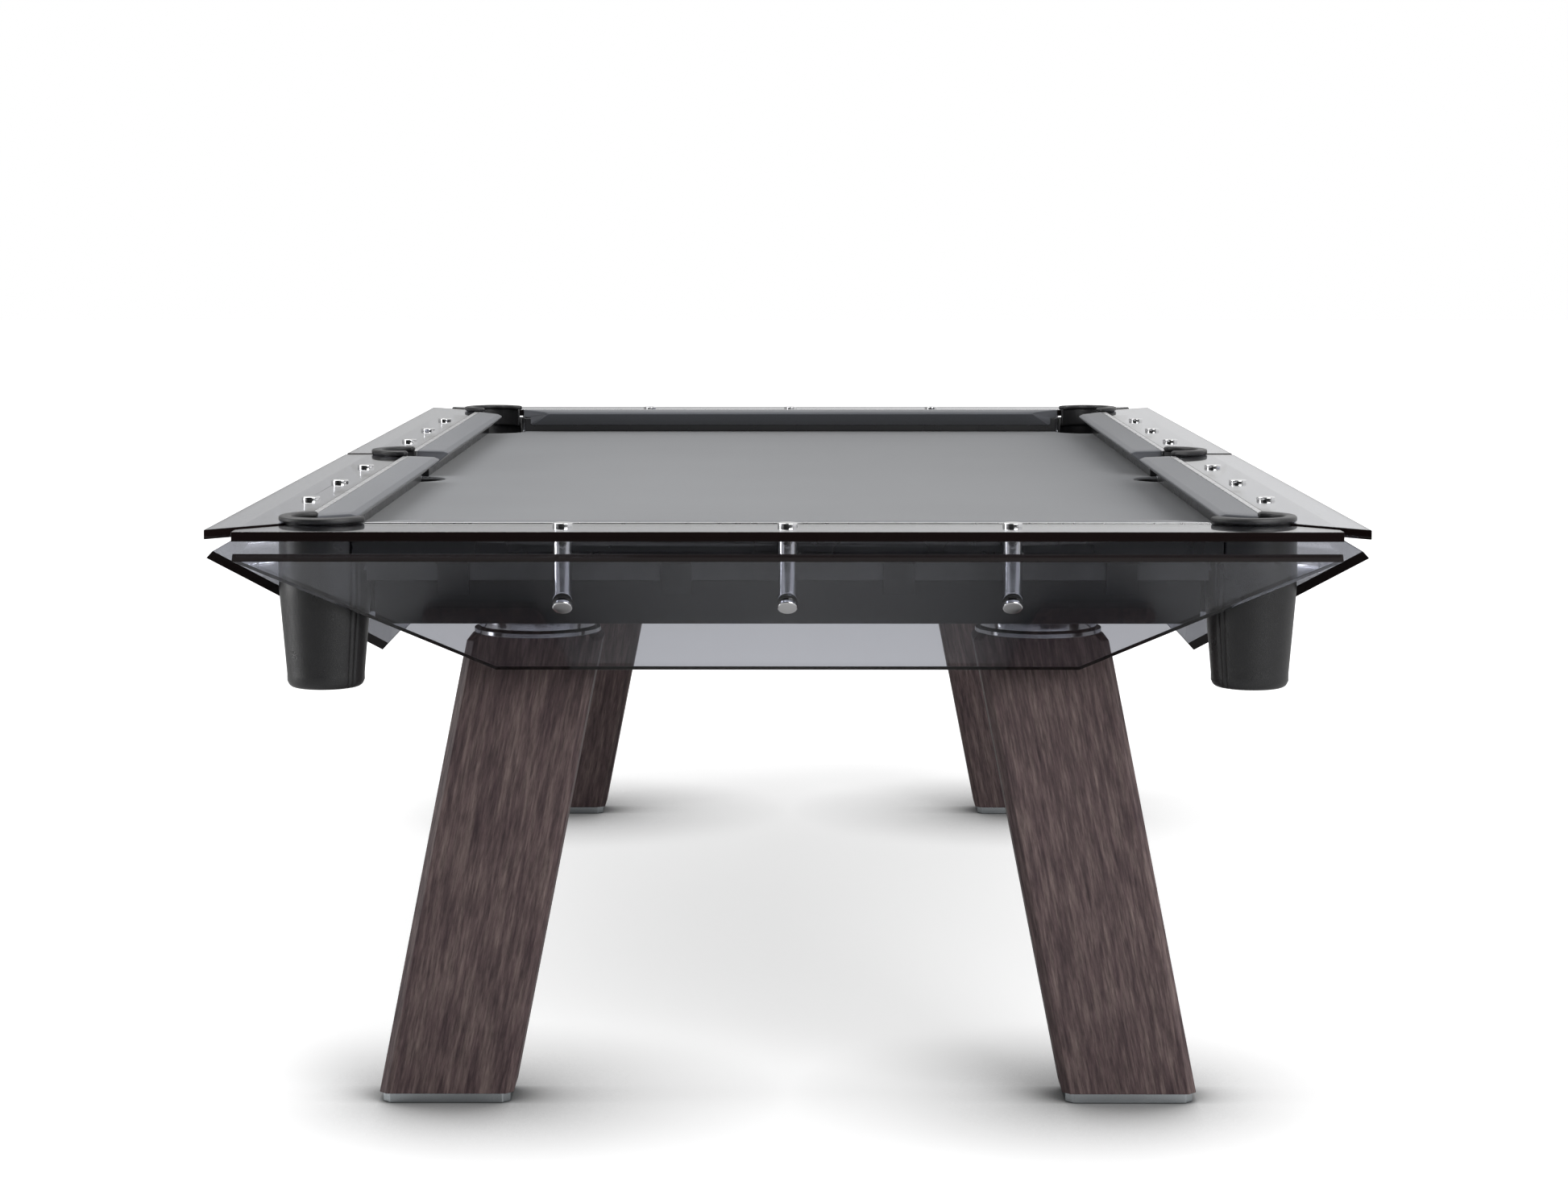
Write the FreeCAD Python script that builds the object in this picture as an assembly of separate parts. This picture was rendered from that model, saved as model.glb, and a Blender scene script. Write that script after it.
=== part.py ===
import FreeCAD, Part
import math
import os

os.makedirs("parts", exist_ok=True)

# Driving dimensions, in millimetres.  X runs across the table, Y along it, and the floor is Z = 0.

# Playing surface, measured between the cushion noses.
play_width = 1120.0
play_length = 2240.0
cloth_top_z = 730.0
cloth_thickness = 1.0

# Slate bed in three pieces.
slate_thickness = 25.0
slate_edge_past_nose_x = 42.0
slate_edge_past_nose_y = 52.0
middle_slate_length = 780.0
slate_joint_gap = 0.4

# Cushions, with the nose line 36.5 above the cloth.
cushion_width = 50.0
nose_height = 36.5
nose_half_height = 1.0
cushion_back_rise = 42.0
cushion_facet_run = 8.0
cushion_facet_rise = 40.6
cushion_foot_rise = 11.0
cushion_overhang = 30.0
corner_nose_setback = 83.0
corner_jaw_run = 60.0
side_nose_setback = 65.0
side_jaw_run = 12.5

# Black rails that carry the cushions, and the strip between cushion and glass.
rail_width = 46.0
rail_height = 26.0
strip_width = 8.0
strip_gap = 2.0

# Pocket centres, measured out from the nose lines, and the pocket fittings.
corner_pocket_out_x = 25.0
corner_pocket_out_y = 30.0
side_pocket_out = 58.0
cup_radius = 58.0
cup_wall = 3.0
cup_depth = 168.0
cup_straight_depth = 45.0
cup_bottom_radius = 48.0
cup_bottom_rounding = 8.0
cup_rim_radius = 52.0
cup_mouth_drop = 3.0
slate_to_cup_gap = 2.0
collar_radius = 58.0
collar_neck_wall = 4.0
collar_neck_depth = 31.0
collar_mouth_radius = 42.0
collar_edge_height = 5.5
collar_crown = 3.0
collar_lip = 3.0
collar_rest_gap = 0.3
rail_to_cup_gap = 2.5
glass_to_neck_gap = 2.0
corner_collar_open_angle = 126.0
side_collar_open_angle = 166.0

# Glass panels of the rail top.
glass_thickness = 12.0
glass_top_above_cloth = 41.0
side_glass_width = 98.0
end_glass_width = 108.0
side_glass_middle_gap = 24.0
side_glass_mitre_gap = 21.0
end_glass_mitre_gap = 16.0
end_glass_tip_inset = 38.0

# Sloping glass skirt below the rail top.
skirt_slope_deg = 42.0
skirt_below_glass_top = 36.5
side_skirt_slant = 236.0
end_skirt_slant = 236.0
side_skirt_tip_inset = 15.0
side_skirt_corner_taper = 325.0
side_skirt_middle_taper = 306.0
side_skirt_middle_inset = 2.0
end_skirt_corner_taper = 307.0
skirt_to_cup_gap = 2.5

# Chrome posts and caps that clamp the glass.
post_radius = 12.5
side_post_to_rail_gap = 0.5
end_post_to_rail_gap = 2.5
cap_radius = 12.5
cap_height = 4.5
cap_edge_round = 1.5
stud_radius = 4.0
stud_bore_gap = 0.05
glass_hole_gap = 0.5
washer_thickness = 1.0
cap_stud_grip = 8.0
skirt_stud_grip = 9.0
rail_stud_z_below_rail_top = 15.0
rail_stud_grip = 15.0
pad_width = 12.0
pad_length = 40.0
pad_inset = 2.0

# Steel angles under the overhanging rails.
bracket_thickness = 3.0
bracket_length = 40.0
bracket_drop = 44.0
bracket_reach_inset = 2.0

# Frame of black beams and aprons.
frame_height = 55.0
apron_thickness = 18.0
apron_to_cup_gap = 15.0
end_apron_to_cup_gap = 8.0
apron_to_skirt_gap = 3.0
beam_width = 80.0
cross_beam_width = 60.0

# Legs, feet and height adjusters.
leg_width = 175.0
leg_depth = 90.0
leg_chamfer = 10.0
leg_top_chamfer = 8.0
leg_spread = 119.5
leg_inset_x = 275.5
leg_inset_y = 153.0
foot_height = 13.0
foot_inset = 4.0
adjuster_height = 28.0
flange_radius = 82.0
flange_thickness = 6.0
ring_radius = 76.0
ring_end_gap = 1.0
ring_edge_round = 2.0
stem_radius = 24.0
stem_fit_gap = 0.05
stem_into_frame = 47.0
stem_bore_gap = 1.0
stem_bore_end_gap = 2.0

# Places that follow from the driving dimensions.
half_width = play_width / 2
half_length = play_length / 2
side_sight_pitch = play_length / 8
end_sight_pitch = play_width / 4
slate_top_z = cloth_top_z - cloth_thickness
slate_bottom_z = slate_top_z - slate_thickness
slate_half_width = half_width + slate_edge_past_nose_x
slate_half_length = half_length + slate_edge_past_nose_y
frame_bottom_z = slate_bottom_z - frame_height
rail_top_z = cloth_top_z + rail_height
glass_top_z = cloth_top_z + glass_top_above_cloth
glass_bottom_z = glass_top_z - glass_thickness
skirt_top_z = glass_top_z - skirt_below_glass_top
side_glass_inner = half_width + cushion_width + strip_width + strip_gap
end_glass_inner = half_length + cushion_width + strip_width + strip_gap
side_glass_outer = side_glass_inner + side_glass_width
end_glass_outer = end_glass_inner + end_glass_width
side_rail_inner = half_width + cushion_overhang
end_rail_inner = half_length + cushion_overhang
side_post_line = side_rail_inner + rail_width + side_post_to_rail_gap + post_radius
end_post_line = end_rail_inner + rail_width + end_post_to_rail_gap + post_radius
corner_pocket_x = half_width + corner_pocket_out_x
corner_pocket_y = half_length + corner_pocket_out_y
side_pocket_x = half_width + side_pocket_out
fitting_cut_radius = cup_radius + rail_to_cup_gap
slope = math.radians(skirt_slope_deg)
skirt_run_at_frame = (skirt_top_z - frame_bottom_z) / math.tan(slope) + glass_thickness / math.sin(slope)
apron_outer_x = min(slate_half_width, side_glass_outer - skirt_run_at_frame - apron_to_skirt_gap)
apron_outer_y = min(slate_half_length, end_glass_outer - skirt_run_at_frame - apron_to_skirt_gap)
leg_top_z = frame_bottom_z - adjuster_height
leg_top_x = slate_half_width - leg_inset_x
leg_foot_x = leg_top_x + leg_spread
leg_y = slate_half_length - leg_inset_y

Z_AXIS = FreeCAD.Vector(0, 0, 1)
SKIRT_DOWN = FreeCAD.Vector(-math.cos(slope), 0, -math.sin(slope))
SKIRT_INWARD = FreeCAD.Vector(-math.sin(slope), 0, math.cos(slope))
CORNERS = {
    "front_left": (-1, -1),
    "front_right": (1, -1),
    "back_left": (-1, 1),
    "back_right": (1, 1),
}


def point(x, y, z):
    return FreeCAD.Vector(x, y, z)


def save(node, *solids):
    """Write one sub-part, a solid or a group of separate solids, to its own STEP file."""
    shape = solids[0] if len(solids) == 1 else Part.makeCompound(list(solids))
    shape.exportStep("parts/" + node + ".step")


def block(x0, x1, y0, y1, z0, z1):
    return Part.makeBox(x1 - x0, y1 - y0, z1 - z0, point(x0, y0, z0))


def disc(x, y, z0, z1, radius):
    return Part.makeCylinder(radius, z1 - z0, point(x, y, z0), Z_AXIS)


def face_of(points):
    return Part.Face(Part.makePolygon(points + [points[0]]))


def plan_prism(outline, z0, z1):
    """Extrude a plan outline, a list of (x, y), between two heights."""
    return face_of([point(x, y, z0) for x, y in outline]).extrude(point(0, 0, z1 - z0))


def side_prism(outline, y0, y1):
    """Extrude an outline in the X-Z plane, a list of (x, z), along the table."""
    return face_of([point(x, y0, z) for x, z in outline]).extrude(point(0, y1 - y0, 0))


def mirrored(shape, sign_x, sign_y):
    """Reflect a piece made in the +X +Y quarter into the quarter with the given signs."""
    if sign_x < 0:
        shape = shape.mirror(point(0, 0, 0), point(1, 0, 0))
    if sign_y < 0:
        shape = shape.mirror(point(0, 0, 0), point(0, 1, 0))
    return shape


def turned_to_end(shape):
    """Turn a piece made on the +X side so that it lies on the +Y end."""
    return shape.rotated(point(0, 0, 0), Z_AXIS, 90)


def pocket_cutters(radius, z0, z1):
    """Round cutters on the six pocket centres."""
    cutters = []
    for sign_x in (-1, 1):
        cutters.append(disc(sign_x * side_pocket_x, 0, z0, z1, radius))
        for sign_y in (-1, 1):
            cutters.append(disc(sign_x * corner_pocket_x, sign_y * corner_pocket_y, z0, z1, radius))
    return Part.makeCompound(cutters)


def side_sights():
    """Distances along the +Y half of a side at which its caps and posts stand."""
    return [step * side_sight_pitch for step in (1, 2, 3)]


def end_sights():
    """Distances across an end at which its caps and posts stand."""
    return [step * end_sight_pitch for step in (-1, 0, 1)]


def side_supports():
    """Distances along the +Y half of a side, between the posts, for pads and brackets."""
    return [(step + 0.5) * side_sight_pitch for step in (0, 1, 2, 3)]


def end_supports():
    return [(step + 0.5) * end_sight_pitch for step in (-2, -1, 0, 1)]


def on_all_rails(make_side, make_end, side_places, end_places):
    """Repeat a small piece round the table: made once per place on a side and on an end."""
    solids = []
    for along in side_places:
        piece = make_side(along)
        for sign_x, sign_y in CORNERS.values():
            solids.append(mirrored(piece, sign_x, sign_y))
    for along in end_places:
        piece = turned_to_end(make_end(along))
        solids.append(piece)
        solids.append(mirrored(piece, 1, -1))
    return solids


# Glass

def stud_hole(x, y, z0, z1):
    return disc(x, y, z0, z1, stud_radius + glass_hole_gap)


def side_top_glass():
    """Rail-top panel from the side pocket's gap to the corner mitre, with its pocket cut-outs."""
    mitre = corner_pocket_y - corner_pocket_x - side_glass_mitre_gap
    start = side_glass_middle_gap / 2
    outline = [
        (side_glass_inner, start),
        (side_glass_outer, start),
        (side_glass_outer, side_glass_outer + mitre),
        (side_glass_inner, side_glass_inner + mitre),
    ]
    panel = plan_prism(outline, glass_bottom_z, glass_top_z)
    panel = panel.cut(pocket_cutters(cup_rim_radius + glass_to_neck_gap, glass_bottom_z, glass_top_z))
    for along in side_sights():
        panel = panel.cut(stud_hole(side_post_line, along, glass_bottom_z, glass_top_z))
    return panel


def end_top_glass():
    """Rail-top panel across the +Y end, mitred at both corners."""
    mitre = corner_pocket_y - corner_pocket_x + end_glass_mitre_gap
    tip_x = side_glass_outer - end_glass_tip_inset
    right_half = [
        (end_glass_inner - mitre, end_glass_inner),
        (tip_x, tip_x + mitre),
        (tip_x, end_glass_outer),
    ]
    left_half = [(-x, y) for x, y in reversed(right_half)]
    panel = plan_prism(right_half + left_half, glass_bottom_z, glass_top_z)
    panel = panel.cut(pocket_cutters(cup_rim_radius + glass_to_neck_gap, glass_bottom_z, glass_top_z))
    for across in end_sights():
        panel = panel.cut(stud_hole(across, end_post_line, glass_bottom_z, glass_top_z))
    return panel


def skirt_point(outer, slant, along):
    """Point on the skirt's outer face, a slant distance below its top edge."""
    return point(outer, along, skirt_top_z) + SKIRT_DOWN * slant


def post_seat(outer, post_line):
    """Where a post's centre line meets the skirt's inner face, as a slant distance."""
    drop = outer - post_line
    return (drop - glass_thickness * math.sin(slope)) / math.cos(slope)


def skirt_panel(outer, outline, post_line, posts):
    """Sloping panel from its outer-face outline of (slant, along), drilled for its posts."""
    panel = face_of([skirt_point(outer, slant, along) for slant, along in outline])
    panel = panel.extrude(SKIRT_INWARD * glass_thickness)
    seat = post_seat(outer, post_line)
    for along in posts:
        hole = Part.makeCylinder(
            stud_radius + glass_hole_gap, glass_thickness, skirt_point(outer, seat, along), SKIRT_INWARD
        )
        panel = panel.cut(hole)
    return panel


def clear_of_cups(panel):
    """Skirt panel with round clearances where it comes near a pocket cup."""
    return panel.cut(pocket_cutters(cup_radius + skirt_to_cup_gap, cloth_top_z - cup_depth, glass_bottom_z))


def side_skirt_glass():
    """Half of a side skirt, cut back towards the side pocket and the corner pocket."""
    glass_end = side_glass_outer + corner_pocket_y - corner_pocket_x - side_glass_mitre_gap
    top_end = glass_end - side_skirt_tip_inset
    top_start = side_glass_middle_gap / 2 + side_skirt_middle_inset
    outline = [
        (0, top_start),
        (side_skirt_slant, top_start + side_skirt_middle_taper),
        (side_skirt_slant, top_end - side_skirt_corner_taper),
        (0, top_end),
    ]
    return clear_of_cups(skirt_panel(side_glass_outer, outline, side_post_line, side_sights()))


def end_skirt_glass():
    """Whole end skirt, cut back towards both corner pockets."""
    half_top = side_glass_outer - end_glass_tip_inset
    half_bottom = half_top - end_skirt_corner_taper
    half = [(end_skirt_slant, half_bottom), (0, half_top)]
    outline = half + [(slant, -along) for slant, along in reversed(half)]
    return clear_of_cups(turned_to_end(skirt_panel(end_glass_outer, outline, end_post_line, end_sights())))


# Posts, caps and pads

def cap(base, direction, stud_length):
    """Polished cap with a rounded rim and a stud on its underside."""
    head = Part.makeCylinder(cap_radius, cap_height, base, direction)
    rim = [edge for edge in head.Edges if edge.Length > cap_radius and on_far_face(edge, base, direction)]
    head = head.makeFillet(cap_edge_round, rim)
    stud = Part.makeCylinder(stud_radius, stud_length, base, direction * -1)
    return head.fuse(stud)


def on_far_face(edge, base, direction):
    offset = (edge.BoundBox.Center - base).dot(direction)
    return offset > cap_height * 0.9


def top_cap(post_line, along):
    length = glass_thickness + washer_thickness + cap_stud_grip
    return cap(point(post_line, along, glass_top_z), Z_AXIS, length)


def skirt_cap(outer, post_line, along):
    base = skirt_point(outer, post_seat(outer, post_line), along)
    length = glass_thickness + washer_thickness + skirt_stud_grip
    return cap(base, SKIRT_INWARD * -1, length)


def post(outer, post_line, along):
    """Upright post from the skirt's inner face to the rail-top glass, bored for its three studs."""
    seat = skirt_point(outer, post_seat(outer, post_line), along)
    seat = seat + SKIRT_INWARD * (glass_thickness + washer_thickness)
    top_z = glass_bottom_z - washer_thickness
    low_z = seat.z - 2 * post_radius
    body = disc(post_line, along, low_z, top_z, post_radius)
    reach = 4 * post_radius
    below = side_prism([
        (seat.x - reach * math.cos(slope), seat.z - reach * math.sin(slope)),
        (seat.x + reach * math.cos(slope), seat.z + reach * math.sin(slope)),
        (seat.x + reach * math.cos(slope), low_z - reach),
        (seat.x - reach * math.cos(slope), low_z - reach),
    ], along - reach, along + reach)
    body = body.cut(below)
    bore = stud_radius + stud_bore_gap
    body = body.cut(Part.makeCylinder(bore, cap_stud_grip, point(post_line, along, top_z), Z_AXIS * -1))
    body = body.cut(Part.makeCylinder(bore, skirt_stud_grip, seat, SKIRT_INWARD))
    stud_z = rail_top_z - rail_stud_z_below_rail_top
    inward = point(-1, 0, 0)
    return body.cut(Part.makeCylinder(bore, post_radius, point(post_line, along, stud_z), inward))


def rail_stud(post_line, rail_outer, along, radius):
    """Horizontal stud that ties a post to the rail, or at a wider radius the hole for it."""
    stud_z = rail_top_z - rail_stud_z_below_rail_top
    length = post_line - rail_outer + rail_stud_grip
    return Part.makeCylinder(radius, length, point(post_line, along, stud_z), point(-1, 0, 0))


def washer(base, direction):
    ring = Part.makeCylinder(post_radius, washer_thickness, base, direction)
    return ring.cut(Part.makeCylinder(stud_radius + glass_hole_gap, washer_thickness, base, direction))


def top_washer(post_line, along):
    return washer(point(post_line, along, glass_bottom_z - washer_thickness), Z_AXIS)


def skirt_washer(outer, post_line, along):
    seat = skirt_point(outer, post_seat(outer, post_line), along)
    return washer(seat + SKIRT_INWARD * glass_thickness, SKIRT_INWARD)


def rest_pad(glass_inner, along):
    """Rubber pad between the rail and the rail-top glass."""
    x0 = glass_inner + pad_inset
    y0 = along - pad_length / 2
    return block(x0, x0 + pad_width, y0, y0 + pad_length, rail_top_z, glass_bottom_z)


# Rails, strips, cushions

def side_rail():
    outer = side_rail_inner + rail_width
    rail = block(side_rail_inner, outer, 0, corner_pocket_y, cloth_top_z, rail_top_z)
    rail = rail.cut(pocket_cutters(fitting_cut_radius, cloth_top_z, rail_top_z))
    for along in side_sights():
        rail = rail.cut(rail_stud(side_post_line, outer, along, stud_radius + stud_bore_gap))
    return rail


def end_rail():
    outer = end_rail_inner + rail_width
    rail = block(-corner_pocket_x, corner_pocket_x, end_rail_inner, outer, cloth_top_z, rail_top_z)
    rail = rail.cut(pocket_cutters(fitting_cut_radius, cloth_top_z, rail_top_z))
    for across in end_sights():
        hole = rail_stud(end_post_line, outer, across, stud_radius + stud_bore_gap)
        rail = rail.cut(turned_to_end(hole))
    return rail


def strip_section(nose):
    inner = nose + cushion_width
    top_z = cloth_top_z + cushion_back_rise
    outer = inner + strip_width
    return [(inner, rail_top_z), (outer, rail_top_z), (outer, top_z), (inner, top_z)]


def side_strip():
    strip = side_prism(strip_section(half_width), 0, corner_pocket_y)
    return strip.cut(pocket_cutters(fitting_cut_radius, rail_top_z, cloth_top_z + cushion_back_rise))


def end_strip():
    strip = turned_to_end(side_prism(strip_section(half_length), -corner_pocket_x, corner_pocket_x))
    return strip.cut(pocket_cutters(fitting_cut_radius, rail_top_z, cloth_top_z + cushion_back_rise))


def cushion_section(nose):
    """Cushion profile: nose, facet, top, back on the rail top, foot against the rail's face."""
    nose_z = cloth_top_z + nose_height
    back = nose + cushion_width
    face = nose + cushion_overhang
    return [
        (nose, nose_z - nose_half_height),
        (nose, nose_z + nose_half_height),
        (nose + cushion_facet_run, cloth_top_z + cushion_facet_rise),
        (back, cloth_top_z + cushion_back_rise),
        (back, rail_top_z),
        (face, rail_top_z),
        (face, cloth_top_z + cushion_foot_rise),
    ]


def trimmed_cushion(section_solid, outline):
    top_z = cloth_top_z + cushion_back_rise
    jaws = plan_prism(outline, cloth_top_z, top_z)
    return section_solid.common(jaws).cut(pocket_cutters(fitting_cut_radius, cloth_top_z, top_z))


def side_cushion():
    nose_end = half_length - corner_nose_setback
    outline = [
        (half_width, side_nose_setback),
        (half_width + cushion_width, side_nose_setback - side_jaw_run),
        (half_width + cushion_width, nose_end + corner_jaw_run),
        (half_width, nose_end),
    ]
    return trimmed_cushion(side_prism(cushion_section(half_width), 0, half_length), outline)


def end_cushion():
    nose_end = half_width - corner_nose_setback
    back_end = nose_end + corner_jaw_run
    back = half_length + cushion_width
    outline = [(-nose_end, half_length), (nose_end, half_length), (back_end, back), (-back_end, back)]
    bar = turned_to_end(side_prism(cushion_section(half_length), -half_width, half_width))
    return trimmed_cushion(bar, outline)


# Slate and cloth

def bed_piece(y0, y1, z0, z1):
    """Part of the bed between two lengths, notched round the pocket cups."""
    slab = block(-slate_half_width, slate_half_width, y0, y1, z0, z1)
    return slab.cut(pocket_cutters(cup_radius + slate_to_cup_gap, z0, z1))


# Pockets

def cup():
    """Leather cup about the Z axis: inward rim, straight upper wall, taper and rounded bottom."""
    top_z = rail_top_z
    shoulder_z = cloth_top_z - cup_straight_depth
    bottom_z = cloth_top_z - cup_depth
    centre_r = cup_bottom_radius - cup_bottom_rounding
    centre_z = bottom_z + cup_bottom_rounding
    lean = 1 / math.sqrt(2)
    inner_rounding = cup_bottom_rounding - cup_wall

    def line(r0, z0, r1, z1):
        return Part.LineSegment(point(r0, 0, z0), point(r1, 0, z1)).toShape()

    def bottom_arc(radius):
        middle = point(centre_r + radius * lean, 0, centre_z - radius * lean)
        start = point(centre_r + radius, 0, centre_z)
        return Part.Arc(start, middle, point(centre_r, 0, centre_z - radius)).toShape()

    inner_r = cup_radius - cup_wall
    rim_z = top_z - cup_wall
    edges = [
        line(cup_rim_radius, top_z, cup_radius, top_z),
        line(cup_radius, top_z, cup_radius, shoulder_z),
        line(cup_radius, shoulder_z, cup_bottom_radius, centre_z),
        bottom_arc(cup_bottom_rounding),
        line(centre_r, bottom_z, 0, bottom_z),
        line(0, bottom_z, 0, bottom_z + cup_wall),
        line(0, bottom_z + cup_wall, centre_r, bottom_z + cup_wall),
        bottom_arc(inner_rounding),
        line(cup_bottom_radius - cup_wall, centre_z, inner_r, shoulder_z),
        line(inner_r, shoulder_z, inner_r, rim_z),
        line(inner_r, rim_z, cup_rim_radius, rim_z),
        line(cup_rim_radius, rim_z, cup_rim_radius, top_z),
    ]
    section = Part.Face(Part.Wire(Part.__sortEdges__(edges)))
    return section.revolve(point(0, 0, 0), Z_AXIS, 360)


def mouth_cutter(open_angle):
    """Sector over the mouth, which faces -X, down to just below the slate's cloth."""
    reach = 3 * cup_radius
    half = math.radians(open_angle / 2)
    outline = [
        (0, 0),
        (-reach * math.cos(half), reach * math.sin(half)),
        (-reach, reach * math.sin(half)),
        (-reach, -reach * math.sin(half)),
        (-reach * math.cos(half), -reach * math.sin(half)),
    ]
    return plan_prism(outline, cloth_top_z - cup_mouth_drop, rail_top_z)


def collar(open_angle):
    """Padded leather collar about the Z axis, open towards -X.

    The pad lies on the glass round the pocket, and its neck goes down inside the cup's rim.
    """
    base_z = glass_top_z + collar_rest_gap
    edge_z = base_z + collar_edge_height
    neck_r = cup_rim_radius - collar_neck_wall
    neck_z = base_z - collar_neck_depth
    middle_r = (collar_radius + collar_mouth_radius) / 2
    rim = [
        point(collar_mouth_radius, 0, edge_z),
        point(collar_mouth_radius, 0, base_z),
        point(neck_r, 0, base_z - collar_lip),
        point(neck_r, 0, neck_z),
        point(cup_rim_radius, 0, neck_z),
        point(cup_rim_radius, 0, base_z),
        point(collar_radius, 0, base_z),
        point(collar_radius, 0, edge_z),
    ]
    crown = Part.Arc(rim[-1], point(middle_r, 0, edge_z + collar_crown), rim[0]).toShape()
    section = Part.Face(Part.Wire(Part.makePolygon(rim).Edges + [crown]))
    ring = section.revolve(point(0, 0, 0), Z_AXIS, 360 - open_angle)
    return ring.rotated(point(0, 0, 0), Z_AXIS, -180 + open_angle / 2)


def at_pocket(shape, sign_x, sign_y):
    """Place a pocket fitting made about the Z axis, its mouth turned to the table's middle."""
    if sign_y == 0:
        return mirrored(shape.translated(point(side_pocket_x, 0, 0)), sign_x, 1)
    shape = shape.rotated(point(0, 0, 0), Z_AXIS, 45)
    return mirrored(shape.translated(point(corner_pocket_x, corner_pocket_y, 0)), sign_x, sign_y)


# Frame

def bracket(slate_edge, rail_outer, along):
    """Steel angle from the apron and slate edge out under the rail."""
    y0 = along - bracket_length / 2
    y1 = along + bracket_length / 2
    bottom_z = cloth_top_z - bracket_drop
    wall = block(slate_edge, slate_edge + bracket_thickness, y0, y1, bottom_z, cloth_top_z)
    shelf_z = cloth_top_z - bracket_thickness
    shelf = block(slate_edge, rail_outer - bracket_reach_inset, y0, y1, shelf_z, cloth_top_z)
    return wall.fuse(shelf).removeSplitter()


def apron_boards():
    """Boards round the frame, flush with the slate or, if a skirt runs closer in, clear of it."""
    inner_x = apron_outer_x - apron_thickness
    inner_y = apron_outer_y - apron_thickness
    start = cup_radius + apron_to_cup_gap
    stop = corner_pocket_y - cup_radius - end_apron_to_cup_gap
    board = block(inner_x, apron_outer_x, start, stop, frame_bottom_z, slate_bottom_z)
    boards = [mirrored(board, sign_x, sign_y) for sign_x, sign_y in CORNERS.values()]
    half = corner_pocket_x - cup_radius - end_apron_to_cup_gap
    end = block(-half, half, inner_y, apron_outer_y, frame_bottom_z, slate_bottom_z)
    return boards + [end, mirrored(end, 1, -1)]


def side_beam():
    """Long beam over two legs, bored for the stems of their height adjusters."""
    stop = apron_outer_y - apron_thickness
    x0 = leg_top_x - beam_width / 2
    beam = block(x0, x0 + beam_width, -stop, stop, frame_bottom_z, slate_bottom_z)
    bore_top = frame_bottom_z + stem_into_frame + stem_bore_end_gap
    for y in (-leg_y, leg_y):
        beam = beam.cut(disc(leg_top_x, y, frame_bottom_z, bore_top, stem_radius + stem_bore_gap))
    return beam


def cross_beams():
    """Beams across the frame over the legs, at the slate joints and in the middle."""
    inner = leg_top_x - beam_width / 2
    outer = leg_top_x + beam_width / 2
    apron_inner = apron_outer_x - apron_thickness
    solids = []
    for y in (-leg_y, -middle_slate_length / 2, 0, middle_slate_length / 2, leg_y):
        y0 = y - cross_beam_width / 2
        y1 = y + cross_beam_width / 2
        solids.append(block(-inner, inner, y0, y1, frame_bottom_z, slate_bottom_z))
        if y != 0:
            solids.append(block(outer, apron_inner, y0, y1, frame_bottom_z, slate_bottom_z))
            solids.append(block(-apron_inner, -outer, y0, y1, frame_bottom_z, slate_bottom_z))
    return solids


# Legs and height adjusters

def octagon(x, y, z, half_x, half_y, corner):
    """Closed wire of a rectangle with its corners cut off."""
    ring = [
        point(x + half_x, y - half_y + corner, z),
        point(x + half_x, y + half_y - corner, z),
        point(x + half_x - corner, y + half_y, z),
        point(x - half_x + corner, y + half_y, z),
        point(x - half_x, y + half_y - corner, z),
        point(x - half_x, y - half_y + corner, z),
        point(x - half_x + corner, y - half_y, z),
        point(x + half_x - corner, y - half_y, z),
    ]
    return Part.makePolygon(ring + [ring[0]])


def leg():
    """Leg of the +X +Y corner, leaning out to its foot, with its top end chamfered."""
    height = leg_top_z - foot_height
    shoulder_z = leg_top_z - leg_top_chamfer
    shoulder_x = leg_top_x + leg_spread * leg_top_chamfer / height
    half_x = leg_width / 2
    half_y = leg_depth / 2
    sections = [
        octagon(leg_foot_x, leg_y, foot_height, half_x, half_y, leg_chamfer),
        octagon(shoulder_x, leg_y, shoulder_z, half_x, half_y, leg_chamfer),
        octagon(leg_top_x, leg_y, leg_top_z, half_x - leg_top_chamfer, half_y, leg_chamfer),
    ]
    return Part.makeLoft(sections, True, True)


def foot():
    half_x = leg_width / 2 - foot_inset
    half_y = leg_depth / 2 - foot_inset
    outline = octagon(leg_foot_x, leg_y, 0, half_x, half_y, leg_chamfer)
    return Part.Face(outline).extrude(point(0, 0, foot_height))


def adjuster_stem():
    """Flange on the leg's top with the stem that the ring turns on."""
    flange = disc(leg_top_x, leg_y, leg_top_z, leg_top_z + flange_thickness, flange_radius)
    top_z = frame_bottom_z + stem_into_frame
    return flange.fuse(disc(leg_top_x, leg_y, leg_top_z + flange_thickness, top_z, stem_radius))


def adjuster_ring():
    """Ring nut between the two flanges, with rounded rims."""
    z0 = leg_top_z + flange_thickness + ring_end_gap
    z1 = frame_bottom_z - flange_thickness - ring_end_gap
    ring = disc(leg_top_x, leg_y, z0, z1, ring_radius)
    rims = [edge for edge in ring.Edges if isinstance(edge.Curve, Part.Circle)]
    ring = ring.makeFillet(ring_edge_round, rims)
    return ring.cut(disc(leg_top_x, leg_y, z0, z1, stem_radius + stem_fit_gap))


def adjuster_socket():
    """Flange under the frame that the stem slides through."""
    z0 = frame_bottom_z - flange_thickness
    socket = disc(leg_top_x, leg_y, z0, frame_bottom_z, flange_radius)
    return socket.cut(disc(leg_top_x, leg_y, z0, frame_bottom_z, stem_radius + stem_fit_gap))


# Write every sub-part.

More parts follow.
